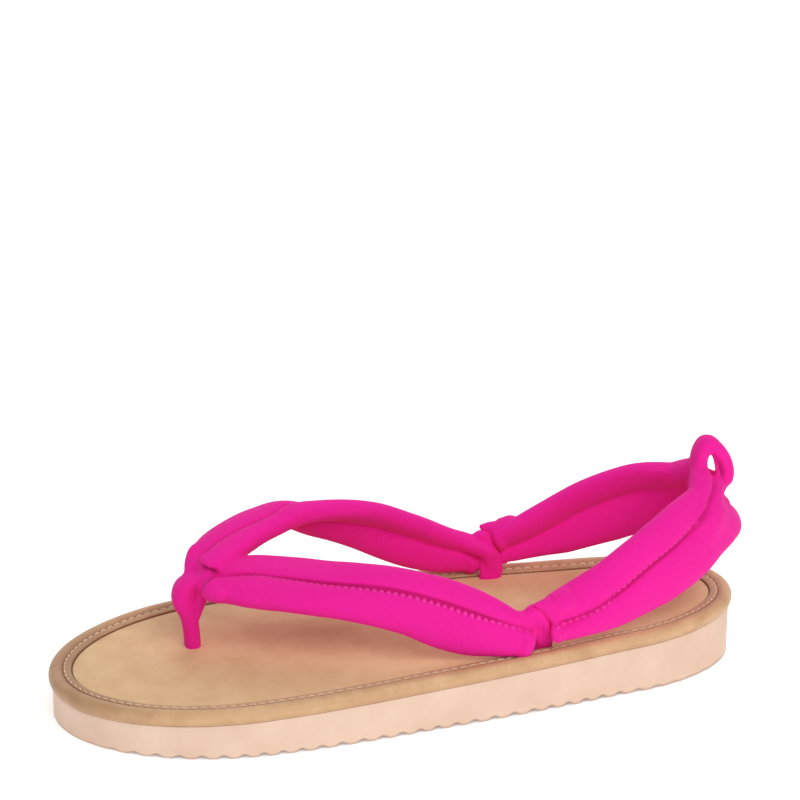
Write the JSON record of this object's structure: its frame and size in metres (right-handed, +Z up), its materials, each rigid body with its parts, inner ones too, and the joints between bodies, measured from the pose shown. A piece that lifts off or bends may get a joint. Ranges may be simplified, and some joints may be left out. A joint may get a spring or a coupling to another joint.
{
  "type": "padded thong sandal",
  "caption": "Left thong sandal: ribbed foam sole with bound footbed, padded fabric V strap with toe post, and padded heel strap with pull loop.",
  "frame": {"origin": "on the ground plane, under the middle of the sole's length and on its centre line", "axes": "+Y from toe to heel, +X towards the outer (lateral) side of the foot, +Z up"},
  "size_m": [0.0978, 0.2545, 0.0816],
  "materials": {
    "eva_foam": "matte light peach foam",
    "binding_suede": "tan microfibre suede",
    "footbed_suede": "light tan microfibre suede",
    "strap_fabric": "matte pink brushed knit"
  },
  "bodies": {
    "root": {"outsole": "eva_foam", "rim_binding": "binding_suede", "insole": "footbed_suede", "front_strap": "strap_fabric", "toe_post": "strap_fabric", "heel_strap": "strap_fabric", "heel_loop": "strap_fabric"}
  },
  "joints": []
}
